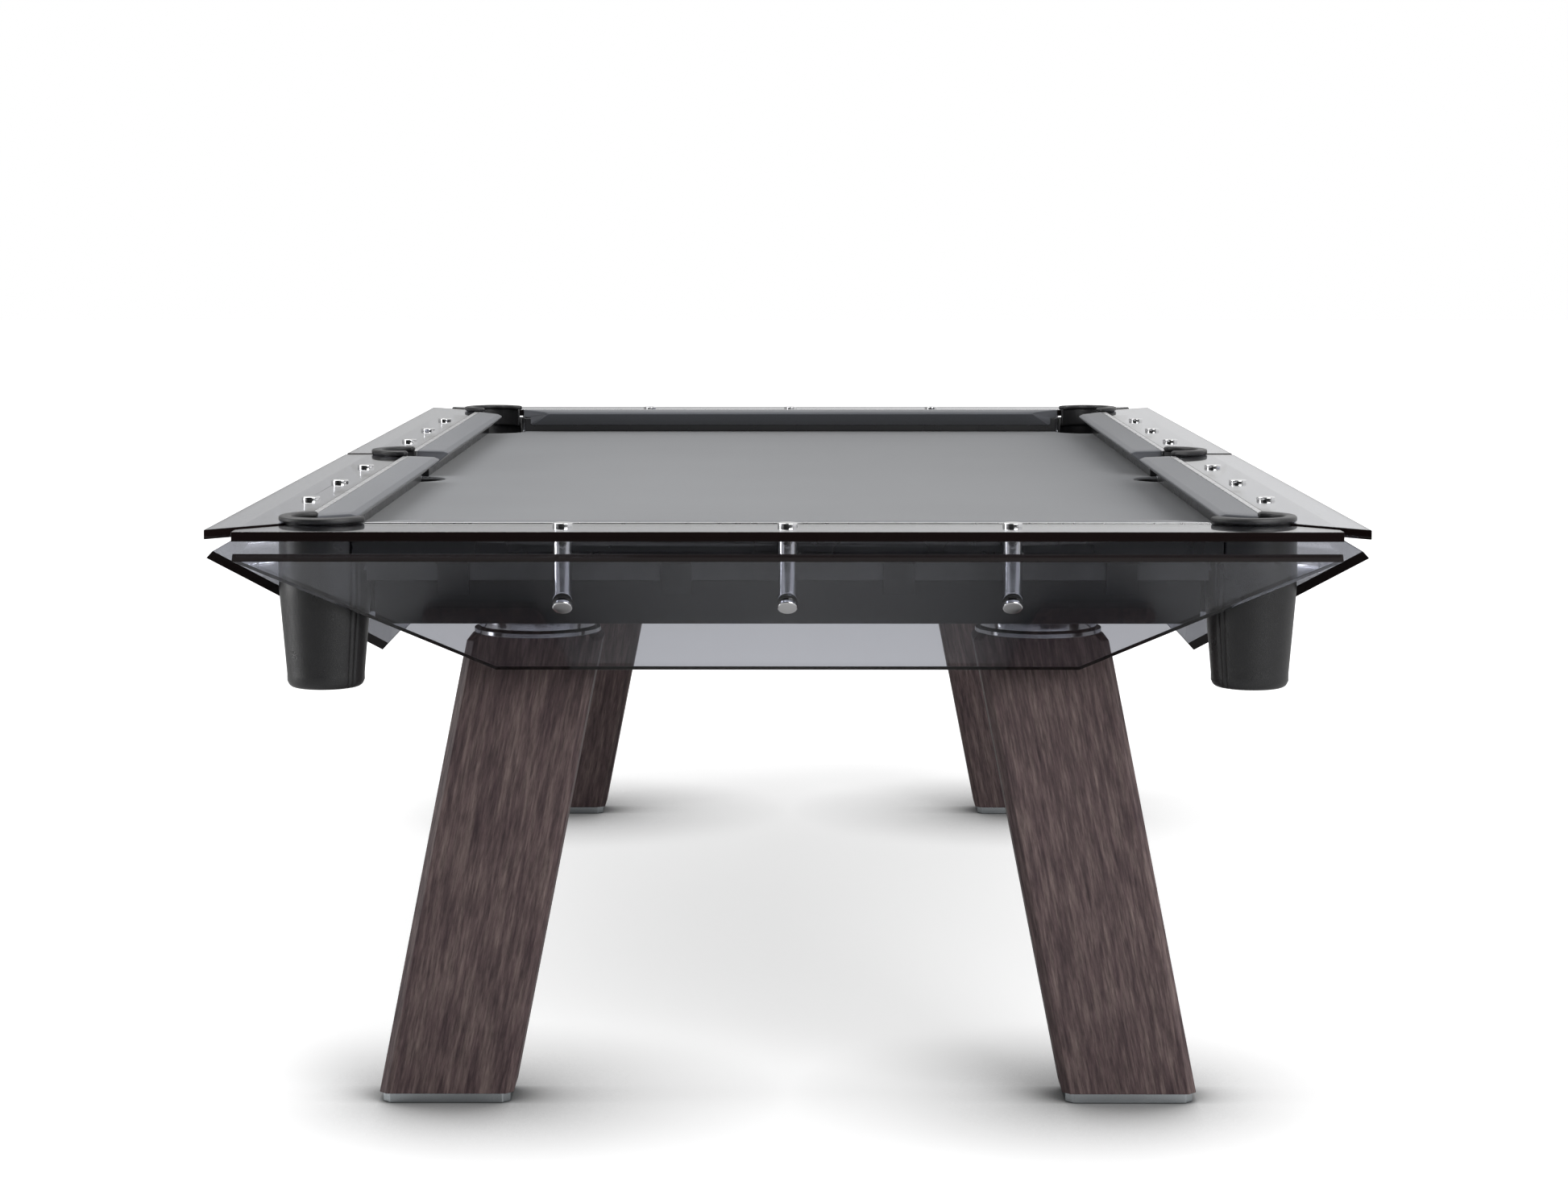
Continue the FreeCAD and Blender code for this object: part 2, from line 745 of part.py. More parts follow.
SIDE_HALVES = {"left_front": (-1, -1), "left_back": (-1, 1), "right_front": (1, -1), "right_back": (1, 1)}
ENDS = {"front": -1, "back": 1}

for place, (sign_x, sign_y) in SIDE_HALVES.items():
    save("top_glass_" + place, mirrored(side_top_glass(), sign_x, sign_y))
    save("skirt_glass_" + place, mirrored(side_skirt_glass(), sign_x, sign_y))
    save("cushion_" + place, mirrored(side_cushion(), sign_x, sign_y))

for place, sign_y in ENDS.items():
    save("top_glass_" + place, mirrored(end_top_glass(), 1, sign_y))
    save("skirt_glass_" + place, mirrored(end_skirt_glass(), 1, sign_y))
    save("cushion_" + place, mirrored(end_cushion(), 1, sign_y))

save("sight_caps", *on_all_rails(
    lambda along: top_cap(side_post_line, along),
    lambda across: top_cap(end_post_line, across),
    side_sights(), end_sights()))
save("skirt_caps", *on_all_rails(
    lambda along: skirt_cap(side_glass_outer, side_post_line, along),
    lambda across: skirt_cap(end_glass_outer, end_post_line, across),
    side_sights(), end_sights()))
save("sight_pillars", *on_all_rails(
    lambda along: post(side_glass_outer, side_post_line, along),
    lambda across: post(end_glass_outer, end_post_line, across),
    side_sights(), end_sights()))
save("rail_studs", *on_all_rails(
    lambda along: rail_stud(side_post_line, side_rail_inner + rail_width, along, stud_radius),
    lambda across: rail_stud(end_post_line, end_rail_inner + rail_width, across, stud_radius),
    side_sights(), end_sights()))

top_washers = on_all_rails(
    lambda along: top_washer(side_post_line, along),
    lambda across: top_washer(end_post_line, across),
    side_sights(), end_sights())
skirt_washers = on_all_rails(
    lambda along: skirt_washer(side_glass_outer, side_post_line, along),
    lambda across: skirt_washer(end_glass_outer, end_post_line, across),
    side_sights(), end_sights())
rest_pads = on_all_rails(
    lambda along: rest_pad(side_glass_inner, along),
    lambda across: rest_pad(end_glass_inner, across),
    side_supports(), end_supports())
save("glass_pads", *top_washers, *skirt_washers, *rest_pads)

save("side_rails", *[mirrored(side_rail(), sign_x, sign_y) for sign_x, sign_y in CORNERS.values()])
save("end_rails", end_rail(), mirrored(end_rail(), 1, -1))
side_strips = [mirrored(side_strip(), sign_x, sign_y) for sign_x, sign_y in CORNERS.values()]
save("trim_strips", *side_strips, end_strip(), mirrored(end_strip(), 1, -1))
save("rail_brackets", *on_all_rails(
    lambda along: bracket(slate_half_width, side_rail_inner + rail_width, along),
    lambda across: bracket(slate_half_length, end_rail_inner + rail_width, across),
    side_supports(), end_supports()))

joint_y = middle_slate_length / 2
joint_gap = slate_joint_gap / 2
save("slate_front", bed_piece(-slate_half_length, -joint_y - joint_gap, slate_bottom_z, slate_top_z))
save("slate_middle", bed_piece(-joint_y + joint_gap, joint_y - joint_gap, slate_bottom_z, slate_top_z))
save("slate_back", bed_piece(joint_y + joint_gap, slate_half_length, slate_bottom_z, slate_top_z))
save("bed_cloth", bed_piece(-slate_half_length, slate_half_length, slate_top_z, cloth_top_z))

corner_cup = cup().cut(mouth_cutter(corner_collar_open_angle))
side_cup = cup().cut(mouth_cutter(side_collar_open_angle))
for place, (sign_x, sign_y) in CORNERS.items():
    save("pocket_cup_" + place, at_pocket(corner_cup, sign_x, sign_y))
save("pocket_cup_middle_left", at_pocket(side_cup, -1, 0))
save("pocket_cup_middle_right", at_pocket(side_cup, 1, 0))
corner_collar = collar(corner_collar_open_angle)
for place, sign_y in ENDS.items():
    save("corner_collars_" + place, *[at_pocket(corner_collar, sign_x, sign_y) for sign_x in (-1, 1)])
side_collar = collar(side_collar_open_angle)
save("side_collars", at_pocket(side_collar, -1, 0), at_pocket(side_collar, 1, 0))

save("aprons", *apron_boards())
save("side_beams", mirrored(side_beam(), -1, 1), side_beam())
save("cross_beams", *cross_beams())
sockets = [mirrored(adjuster_socket(), sign_x, sign_y) for sign_x, sign_y in CORNERS.values()]
save("leveller_sockets", *sockets)

for place, (sign_x, sign_y) in CORNERS.items():
    save("leg_" + place, mirrored(leg(), sign_x, sign_y))
    save("foot_" + place, mirrored(foot(), sign_x, sign_y))
    save("leveller_stem_" + place, mirrored(adjuster_stem(), sign_x, sign_y))
    save("leveller_ring_" + place, mirrored(adjuster_ring(), sign_x, sign_y))
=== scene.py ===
import math

import bmesh
import bpy
import numpy as np
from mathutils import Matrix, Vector


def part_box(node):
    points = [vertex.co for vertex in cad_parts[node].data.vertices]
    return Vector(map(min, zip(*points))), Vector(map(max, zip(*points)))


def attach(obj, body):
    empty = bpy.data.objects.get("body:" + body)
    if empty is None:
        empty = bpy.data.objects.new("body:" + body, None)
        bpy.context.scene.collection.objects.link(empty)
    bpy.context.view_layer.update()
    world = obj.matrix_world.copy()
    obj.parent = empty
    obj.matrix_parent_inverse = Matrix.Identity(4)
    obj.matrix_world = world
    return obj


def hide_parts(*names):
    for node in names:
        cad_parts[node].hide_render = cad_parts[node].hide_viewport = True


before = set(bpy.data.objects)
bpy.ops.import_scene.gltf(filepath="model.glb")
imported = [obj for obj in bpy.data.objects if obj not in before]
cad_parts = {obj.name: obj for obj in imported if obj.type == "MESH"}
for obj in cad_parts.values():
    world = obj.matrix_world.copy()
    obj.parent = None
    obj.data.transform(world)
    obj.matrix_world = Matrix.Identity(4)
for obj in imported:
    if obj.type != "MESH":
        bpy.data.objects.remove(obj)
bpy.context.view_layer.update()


# Camera
# Standing four metres off the near end at chest height, looking along the table and a
# little down.

camera = bpy.data.objects.new("camera", bpy.data.cameras.new("camera"))
camera.data.sensor_width = 36
camera.data.lens = 74.05
camera.data.shift_y = -0.12
camera.location = (0.0096, -5.2095, 1.1583)
camera.rotation_euler = (math.radians(86.655), 0, math.radians(0.2))
bpy.context.collection.objects.link(camera)
bpy.context.scene.camera = camera


# Studio
# A white floor and backdrop. A key softbox stands high at the near right, a wide one hangs to
# the left overhead and a narrow one stands far to the left. The room behind the camera is dark.

bpy.context.scene.view_settings.view_transform = "Standard"
sky_left, sky_right = 0.44, 0.88
sky_blend = 0.25
room_dark = 0.05
room_from, room_to = -0.80, -0.25
floor_reach = 30.0
floor_near_edge = -6.5
floor_glow_near, floor_glow_far = 0.55, 1.0
floor_glow_from, floor_glow_to = 1.8, 4.0
floor_glow_cast = 0.10
floor_white_seen, floor_white_cast = 0.72, 0.42
floor_shade_reach = 0.35
floor_shade_depth = 3.0
softboxes = {
    "softbox_key": ((2.4, -4.0, 2.7), (0.0, -0.7, 0.5), (3.0, 3.0), 146),
    "softbox_over": ((-1.3, 0.0, 2.9), (0.0, 0.0, 0.6), (2.2, 2.2), 44),
    "softbox_left": ((-3.2, -1.1, 0.9), (-0.6, -1.15, 0.65), (0.7, 1.4), 22),
}


def mesh_object(name, vertices, faces, sharp_above=35):
    """Object from vertices and faces, smooth except across edges sharper than the given degrees."""
    mesh = bpy.data.meshes.new(name)
    mesh.from_pydata(vertices, [], faces)
    mesh.polygons.foreach_set("use_smooth", np.ones(len(mesh.polygons), dtype=bool))
    mesh.set_sharp_from_angle(angle=math.radians(sharp_above))
    made = bpy.data.objects.new(name, mesh)
    bpy.context.collection.objects.link(made)
    return made


def plain_material(name, **values):
    """Material and its shader, which holds the given values, each named after its socket."""
    made = bpy.data.materials.new(name)
    made.use_nodes = True
    shader = made.node_tree.nodes["Principled BSDF"]
    for socket, value in values.items():
        shader.inputs[socket.replace("_", " ")].default_value = value
    return made, shader


def add_node(tree, kind, inputs, **properties):
    """Node in a tree, with each input set to a value or linked to another node's output."""
    made = tree.nodes.new(kind)
    for key, value in properties.items():
        setattr(made, key, value)
    for key, value in inputs.items():
        if isinstance(value, bpy.types.NodeSocket):
            tree.links.new(value, made.inputs[key])
        else:
            made.inputs[key].default_value = value
    return made


def object_position(tree):
    """Position on the piece, in its own coordinates."""
    return add_node(tree, "ShaderNodeTexCoord", {}).outputs["Object"]


sky = bpy.data.worlds.new("sky")
sky.use_nodes = True
sky_tree = sky.node_tree
ray = add_node(sky_tree, "ShaderNodeTexCoord", {})
looking = add_node(sky_tree, "ShaderNodeSeparateXYZ", {0: ray.outputs["Generated"]})
room = add_node(
    sky_tree, "ShaderNodeMapRange",
    {"Value": looking.outputs["Y"], "From Min": room_from, "From Max": room_to,
     "To Min": room_dark, "To Max": 1.0},
)
across = add_node(
    sky_tree, "ShaderNodeMapRange",
    {"Value": looking.outputs["X"], "From Min": -sky_blend, "From Max": sky_blend,
     "To Min": sky_left, "To Max": sky_right},
)
around = add_node(
    sky_tree, "ShaderNodeMath", {0: room.outputs[0], 1: across.outputs[0]}, operation="MULTIPLY"
)
seen = add_node(sky_tree, "ShaderNodeLightPath", {})
brightness = add_node(
    sky_tree, "ShaderNodeMath",
    {0: around.outputs[0], 1: seen.outputs["Is Camera Ray"]}, operation="MAXIMUM",
)
sky_tree.nodes["Background"].inputs["Color"].default_value = (1, 1, 1, 1)
sky_tree.links.new(brightness.outputs[0], sky_tree.nodes["Background"].inputs["Strength"])
bpy.context.scene.world = sky

for name, (place, aim, size, power) in softboxes.items():
    lamp = bpy.data.lights.new(name, "AREA")
    lamp.shape = "RECTANGLE"
    lamp.size, lamp.size_y = size
    lamp.energy = power
    softbox = bpy.data.objects.new(name, lamp)
    softbox.location = place
    softbox.rotation_euler = (Vector(aim) - Vector(place)).to_track_quat("-Z", "Y").to_euler()
    bpy.context.collection.objects.link(softbox)

floor = mesh_object(
    "floor",
    [(-floor_reach, floor_near_edge, 0), (floor_reach, floor_near_edge, 0),
     (floor_reach, floor_reach, 0), (-floor_reach, floor_reach, 0)],
    [(0, 1, 2, 3)],
)
floor_paint, floor_shader = plain_material(
    "floor_paint", Roughness=0.7, Emission_Color=(1, 1, 1, 1),
)
floor_tree = floor_paint.node_tree
# The floor glows, weaker near the table and full far away: painted light, dimmer round the table.
from_table = add_node(
    floor_tree, "ShaderNodeVectorMath", {0: object_position(floor_tree)}, operation="LENGTH"
)
floor_glow = add_node(
    floor_tree, "ShaderNodeMapRange",
    {"Value": from_table.outputs["Value"], "From Min": floor_glow_from, "From Max": floor_glow_to,
     "To Min": floor_glow_near, "To Max": floor_glow_far},
)
# Ambient occlusion darkens the floor's glow and its colour under and beside the table: a painted
# contact shadow.
floor_shade = add_node(floor_tree, "ShaderNodeAmbientOcclusion", {"Distance": floor_shade_reach})
floor_painted_shadow = add_node(
    floor_tree, "ShaderNodeMath",
    {0: floor_shade.outputs["AO"], 1: floor_shade_depth}, operation="POWER",
)
path = add_node(floor_tree, "ShaderNodeLightPath", {})
seen_through = add_node(
    floor_tree, "ShaderNodeMath",
    {0: path.outputs["Is Camera Ray"], 1: path.outputs["Is Transmission Ray"]}, operation="MAXIMUM",
)
for socket, shown_to, cast, shown in (
    ("Emission Strength", path.outputs["Is Camera Ray"], floor_glow_cast, floor_glow.outputs[0]),
    ("Base Color", seen_through.outputs[0], floor_white_cast, floor_white_seen),
):
    level = add_node(
        floor_tree, "ShaderNodeMapRange", {"Value": shown_to, "To Min": cast, "To Max": shown}
    )
    dimmed = add_node(
        floor_tree, "ShaderNodeMath",
        {0: level.outputs[0], 1: floor_painted_shadow.outputs[0]}, operation="MULTIPLY",
    )
    floor_tree.links.new(dimmed.outputs[0], floor_shader.inputs[socket])
floor.data.materials.append(floor_paint)


# Legs
# Four solid timber legs that lean outwards, planed with a narrow chamfer all round
# and stained grey-brown under a satin varnish.

leg_edge = 0.0009
wood_dark = (0.047, 0.028, 0.032, 1)
wood_mid = (0.094, 0.063, 0.064, 1)
wood_light = (0.168, 0.124, 0.116, 1)
plank_shift = (0.31, 0.17, 0.9)
doubled_below = 2e-6
flat_below = math.radians(0.2)
sharp_degrees = 35
rounded_above = math.radians(28)
corners = ("front_left", "front_right", "back_left", "back_right")


def merged_copy(node, name, edge, steps=2):
    """Copy of a CAD node, its triangles joined into whole faces and its edges rounded by edge."""
    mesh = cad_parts[node].data.copy()
    mesh.materials.clear()
    work = bmesh.new()
    work.from_mesh(mesh)
    bmesh.ops.remove_doubles(work, verts=work.verts, dist=doubled_below)
    bmesh.ops.dissolve_limit(
        work, angle_limit=flat_below, verts=work.verts, edges=work.edges
    )
    work.to_mesh(mesh)
    work.free()
    mesh.polygons.foreach_set("use_smooth", np.ones(len(mesh.polygons), dtype=bool))
    mesh.set_sharp_from_angle(angle=math.radians(sharp_degrees))
    made = bpy.data.objects.new(name, mesh)
    bpy.context.collection.objects.link(made)
    if edge:
        bevel = made.modifiers.new("edge", "BEVEL")
        bevel.width = edge
        bevel.segments = steps
        bevel.limit_method = "ANGLE"
        bevel.angle_limit = rounded_above
        bevel.use_clamp_overlap = False
        bevel.harden_normals = True
    return made


def settle(piece, body, slot, *nodes):
    """Fix a piece to its body and hide the CAD nodes it stands for; the slot argument is not used.
    """
    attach(piece, body)
    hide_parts(*nodes)


def shader_group(name, inputs, outputs):
    """Empty shader group with the named sockets, and its input and output nodes."""
    tree = bpy.data.node_groups.new(name, "ShaderNodeTree")
    for socket, kind in inputs.items():
        tree.interface.new_socket(socket, in_out="INPUT", socket_type="NodeSocket" + kind)
    for socket, kind in outputs.items():
        tree.interface.new_socket(socket, in_out="OUTPUT", socket_type="NodeSocket" + kind)
    return tree, tree.nodes.new("NodeGroupInput"), tree.nodes.new("NodeGroupOutput")


def place_group(tree, group, inputs):
    """Copy of a shader group in a material, with its inputs set or linked."""
    return add_node(tree, "ShaderNodeGroup", inputs, node_tree=group)


# Group: broad streaks and fine fibres, both noise drawn out along Z.
grain, grain_in, grain_out = shader_group(
    "grain", {"Position": "Vector"}, {"Streak": "Float", "Fibre": "Float"}
)
for output, stretch, detail in (("Streak", (150, 150, 13), 4), ("Fibre", (430, 430, 46), 3)):
    drawn = add_node(
        grain, "ShaderNodeVectorMath",
        {0: grain_in.outputs["Position"], 1: stretch}, operation="MULTIPLY",
    )
    noise = add_node(
        grain, "ShaderNodeTexNoise",
        {"Vector": drawn.outputs[0], "Scale": 1.0, "Detail": detail, "Roughness": 0.62},
    )
    grain.links.new(noise.outputs["Fac"], grain_out.inputs[output])


def leg_wood(name, lean, shift):
    """Stained timber, its grain leant by an angle about Y and each leg cut from another plank."""
    made, shader = plain_material(
        name, Coat_Weight=0.06, Coat_Roughness=0.3, Specular_IOR_Level=0.35
    )
    tree = made.node_tree
    turned = add_node(
        tree, "ShaderNodeMapping",
        {"Vector": object_position(tree), "Location": shift, "Rotation": (0, lean, 0)},
    )
    lines = place_group(tree, grain, {"Position": turned.outputs[0]})
    tone = add_node(tree, "ShaderNodeValToRGB", {"Fac": lines.outputs["Streak"]})
    tone.color_ramp.elements[0].position = 0.30
    tone.color_ramp.elements[0].color = wood_dark
    tone.color_ramp.elements[1].position = 0.72
    tone.color_ramp.elements[1].color = wood_light
    tone.color_ramp.elements.new(0.5).color = wood_mid
    fibre_tone = add_node(
        tree, "ShaderNodeMapRange",
        {"Value": lines.outputs["Fibre"], "From Min": 0.3, "From Max": 0.7,
         "To Min": 0.62, "To Max": 1.40},
    )
    shaded = add_node(
        tree, "ShaderNodeVectorMath",
        {0: tone.outputs["Color"], "Scale": fibre_tone.outputs[0]}, operation="SCALE",
    )
    tree.links.new(shaded.outputs[0], shader.inputs["Base Color"])
    gloss = add_node(
        tree, "ShaderNodeMapRange",
        {"Value": lines.outputs["Fibre"], "To Min": 0.62, "To Max": 0.48},
    )
    tree.links.new(gloss.outputs[0], shader.inputs["Roughness"])
    bump = add_node(
        tree, "ShaderNodeBump",
        {"Strength": 0.35, "Distance": 0.0004, "Height": lines.outputs["Fibre"]},
    )
    tree.links.new(bump.outputs[0], shader.inputs["Normal"])
    return made


for count, corner in enumerate(corners):
    leg_low, leg_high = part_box("leg_" + corner)
    foot_low, foot_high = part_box("foot_" + corner)
    foot_middle = (foot_low[0] + foot_high[0]) / 2
    leg_middle = (leg_low[0] + leg_high[0]) / 2
    lean = math.atan2(2 * (foot_middle - leg_middle), leg_high[2] - leg_low[2])
    leg = merged_copy("leg_" + corner, "wood_leg_" + corner, leg_edge, steps=3)
    shift = [count * step for step in plank_shift]
    leg.data.materials.append(leg_wood("wood_" + corner, lean, shift))
    settle(leg, "leg_assembly_" + corner, "leg_wood", "leg_" + corner)


# Feet
# Polished steel plates under the legs, cut to the leg's own outline a little smaller.

foot_edge = 0.0012

# Group: soft cloudy variation, one value between Low and High.
cloud, cloud_in, cloud_out = shader_group(
    "cloud",
    {"Position": "Vector", "Scale": "Float", "Low": "Float", "High": "Float"},
    {"Value": "Float"},
)
cloud_noise = add_node(
    cloud, "ShaderNodeTexNoise",
    {"Vector": cloud_in.outputs["Position"], "Scale": cloud_in.outputs["Scale"],
     "Detail": 4.0},
)
cloud_range = add_node(
    cloud, "ShaderNodeMapRange",
    {"Value": cloud_noise.outputs["Fac"], "From Min": 0.3, "From Max": 0.7,
     "To Min": cloud_in.outputs["Low"], "To Max": cloud_in.outputs["High"]},
)
cloud.links.new(cloud_range.outputs[0], cloud_out.inputs["Value"])


def cloudy_finish(name, scale, low, high, **values):
    """Material whose roughness drifts between two values over the surface."""
    made, shader = plain_material(name, **values)
    tree = made.node_tree
    drift = place_group(
        tree, cloud, {"Position": object_position(tree), "Scale": scale, "Low": low, "High": high}
    )
    tree.links.new(drift.outputs["Value"], shader.inputs["Roughness"])
    return made


foot_polish = cloudy_finish(
    "foot_polish", scale=30.0, low=0.12, high=0.24, Base_Color=(0.82, 0.87, 0.90, 1), Metallic=1.0
)
for corner in corners:
    foot = merged_copy("foot_" + corner, "steel_foot_" + corner, foot_edge)
    foot.data.materials.append(foot_polish)
    settle(foot, "leg_assembly_" + corner, "foot_steel", "foot_" + corner)


# Height adjusters
# A dark chromed flange on each leg carries the stem, a ring nut turns on it, and a second
# flange under the frame takes the stem.

flange_edge = 0.0008
steel_finish = cloudy_finish(
    "steel_finish", scale=45.0, low=0.10, high=0.22, Base_Color=(0.34, 0.34, 0.35, 1), Metallic=1.0
)
for corner in corners:
    stem = merged_copy("leveller_stem_" + corner, "chrome_stem_" + corner, flange_edge)
    stem.data.materials.append(steel_finish)
    settle(stem, "leg_assembly_" + corner, "chrome", "leveller_stem_" + corner)
    ring = merged_copy("leveller_ring_" + corner, "chrome_ring_" + corner, 0)
    ring.data.materials.append(steel_finish)
    settle(ring, "ring_" + corner, "chrome", "leveller_ring_" + corner)
sockets = merged_copy("leveller_sockets", "chrome_flanges", flange_edge)
sockets.data.materials.append(steel_finish)
settle(sockets, "table_top", "chrome", "leveller_sockets")


# Frame
# Long and cross beams with apron boards round them, all painted satin black,
# and steel angles that carry the rails.

board_edge = 0.0015
bracket_edge = 0.0005
frame_paint = cloudy_finish(
    "frame_paint", scale=9.0, low=0.38, high=0.52,
    Base_Color=(0.010, 0.010, 0.011, 1), Specular_IOR_Level=0.3,
)

for node in ("side_beams", "cross_beams", "aprons"):
    board = merged_copy(node, "black_" + node, board_edge)
    board.data.materials.append(frame_paint)
    settle(board, "table_top", "black_rail", node)
brackets = merged_copy("rail_brackets", "black_brackets", bracket_edge, steps=1)
brackets.data.materials.append(frame_paint)
settle(brackets, "table_top", "black_steel", "rail_brackets")


# Slate
# Three honed slate slabs, butted and filled, that show only from below and in the pockets.

slate_finish, slate_shader = plain_material("slate_finish", Roughness=0.6)
slate_tree = slate_finish.node_tree
slate_tone = place_group(
    slate_tree, cloud,
    {"Position": object_position(slate_tree), "Scale": 14.0, "Low": 0.055, "High": 0.085},
)
slate_tree.links.new(slate_tone.outputs["Value"], slate_shader.inputs["Base Color"])
for node in ("slate_front", "slate_middle", "slate_back"):
    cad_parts[node].material_slots[0].material = slate_finish


# Bed cloth
# One sheet of worsted cloth stretched over the slate and turned down into each
# pocket round the slate's edge.

bed_colour = (0.140, 0.145, 0.155)
cloth_yarns = 420.0
slate_hole_gap = 0.002
cloth_wall_gap = 0.0006
cloth_bend = 0.0025
cloth_turned_down = 0.014
fine_step = 0.0035
coarse_step = 0.05
fine_reach = 0.075


def lines_between(low, high, marks):
    """Grid lines from low to high, fine within reach of the marks and coarse between them."""
    even = np.arange(low, high, fine_step)
    close = np.abs(even[:, None] - np.asarray(marks)[None, :]).min(axis=1) < fine_reach
    coarse = np.arange(low, high, coarse_step)
    far = np.abs(coarse[:, None] - np.asarray(marks)[None, :]).min(axis=1) >= fine_reach
    return np.unique(np.concatenate([[low], even[close], coarse[far], [high]]))


def into_pockets(x, y, z, pockets, radius):
    """Turn a flat sheet down at the pockets.

    Past a bend that starts one bend radius outside the pocket's edge, the distance that a point
    lies inside becomes first an arc, sine along and one minus cosine down, and then a straight
    drop.
    """
    for pocket_x, pocket_y in pockets:
        away = np.hypot(x - pocket_x, y - pocket_y)
        along = np.clip(radius + cloth_bend - away, 0, cloth_turned_down)
        angle = np.minimum(along / cloth_bend, math.pi / 2)
        inward = cloth_bend * np.sin(angle)
        straight = np.maximum(along - cloth_bend * math.pi / 2, 0)
        drop = cloth_bend * (1 - np.cos(angle)) + straight
        turned_in = (radius + cloth_bend - inward) / np.maximum(away, 1e-6)
        ratio = np.where(along > 0, turned_in, 1.0)
        x = pocket_x + (x - pocket_x) * ratio
        y = pocket_y + (y - pocket_y) * ratio
        z = z - drop
    return x, y, z


cup_names = ["middle_left", "middle_right"] + list(corners)
cup_boxes = {name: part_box("pocket_cup_" + name) for name in cup_names}
pocket_centres = [
    ((low[0] + high[0]) / 2, (low[1] + high[1]) / 2) for low, high in cup_boxes.values()
]
cup_radius = (cup_boxes["middle_left"][1][1] - cup_boxes["middle_left"][0][1]) / 2
cloth_low, cloth_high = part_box("bed_cloth")
cloth_wall = cup_radius + slate_hole_gap - cloth_wall_gap
cloth_x = lines_between(cloth_low[0], cloth_high[0], [centre[0] for centre in pocket_centres])
cloth_y = lines_between(cloth_low[1], cloth_high[1], [centre[1] for centre in pocket_centres])
flat_x, flat_y = np.meshgrid(cloth_x, cloth_y, indexing="ij")
reach = np.min([np.hypot(flat_x - x, flat_y - y) for x, y in pocket_centres], axis=0)
kept = reach > cloth_wall + cloth_bend - cloth_turned_down
index = np.arange(flat_x.size).reshape(flat_x.shape)
cells = np.stack(
    [index[:-1, :-1], index[1:, :-1], index[1:, 1:], index[:-1, 1:]], axis=-1
).reshape(-1, 4)
cells = cells[kept.ravel()[cells].any(axis=1)]
used, cells = np.unique(cells, return_inverse=True)
cells = cells.reshape(-1, 4)
sheet_x, sheet_y = flat_x.ravel()[used], flat_y.ravel()[used]
sheet_z = np.full(sheet_x.shape, cloth_high[2])
sheet_points = np.stack(
    into_pockets(sheet_x, sheet_y, sheet_z, pocket_centres, cloth_wall), axis=-1
)
bed_sheet = mesh_object("bed_sheet", sheet_points.tolist(), cells.tolist(), sharp_above=60)
thickness = bed_sheet.modifiers.new("thickness", "SOLIDIFY")
thickness.thickness = cloth_high[2] - cloth_low[2]
thickness.offset = -1

# Group: plain weave, the product of two sine bands, with the yarn's own unevenness.
weave, weave_in, weave_out = shader_group(
    "weave", {"Position": "Vector", "Yarns": "Float"}, {"Height": "Float", "Tone": "Float"}
)
bands = [
    add_node(
        weave, "ShaderNodeTexWave",
        {"Vector": weave_in.outputs["Position"], "Scale": weave_in.outputs["Yarns"],
         "Distortion": 0.6},
        bands_direction=direction,
    )
    for direction in ("X", "Y")
]
crossed = add_node(
    weave, "ShaderNodeMath",
    {0: bands[0].outputs["Fac"], 1: bands[1].outputs["Fac"]}, operation="MULTIPLY",
)
weave.links.new(crossed.outputs[0], weave_out.inputs["Height"])
yarn_noise = add_node(
    weave, "ShaderNodeTexNoise",
    {"Vector": weave_in.outputs["Position"], "Scale": 700.0, "Detail": 3.0},
)
yarn_tone = add_node(
    weave, "ShaderNodeMapRange",
    {"Value": yarn_noise.outputs["Fac"], "To Min": 0.86, "To Max": 1.14},
)
weave.links.new(yarn_tone.outputs[0], weave_out.inputs["Tone"])


def worsted(name, colour):
    """Woven wool with a fine weave, uneven yarn and slow drifts of tone."""
    made, shader = plain_material(name, Roughness=0.85, Sheen_Weight=0.25, Sheen_Roughness=0.45)
    tree = made.node_tree
    position = object_position(tree)
    cloth = place_group(tree, weave, {"Position": position, "Yarns": cloth_yarns})
    drift = place_group(
        tree, cloud, {"Position": position, "Scale": 3.0, "Low": 0.95, "High": 1.05}
    )
    both = add_node(
        tree, "ShaderNodeMath",
        {0: cloth.outputs["Tone"], 1: drift.outputs["Value"]}, operation="MULTIPLY",
    )
    shaded = add_node(
        tree, "ShaderNodeVectorMath", {0: colour, "Scale": both.outputs[0]}, operation="SCALE"
    )
    tree.links.new(shaded.outputs[0], shader.inputs["Base Color"])
    bump = add_node(
        tree, "ShaderNodeBump",
        {"Strength": 0.25, "Distance": 0.0002, "Height": cloth.outputs["Height"]},
    )
    tree.links.new(bump.outputs[0], shader.inputs["Normal"])
    return made


bed_sheet.data.materials.append(worsted("bed_worsted", bed_colour))
settle(bed_sheet, "table_top", "bed_cloth", "bed_cloth")


# Cushions
# Six lengths of moulded rubber covered tight in cloth, each with a low rounded nose,
# an undercut face and ends cut on the slant at the pockets.

cushion_colour = (0.103, 0.108, 0.121)
cushion_width = 0.050
cushion_overhang = 0.030
nose_above_bed = 0.0365
nose_half_height = 0.001
facet_run = 0.008
facet_rise = 0.0406
facet_round = 0.006
corner_nose_setback = 0.083
corner_jaw_run = 0.060
side_nose_setback = 0.065
side_jaw_run = 0.0125
cushion_pocket_gap = 0.0025
nose_round = 0.0017
back_round = 0.0020
seat_round = 0.0008
end_round = 0.0020
bed_top = cloth_high[2]
rail_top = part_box("side_rails")[1][2]
nose_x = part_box("cushion_right_front")[0][0]
nose_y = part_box("cushion_back")[0][1]
cushion_foot, cushion_top = (corner[2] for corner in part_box("cushion_right_front"))


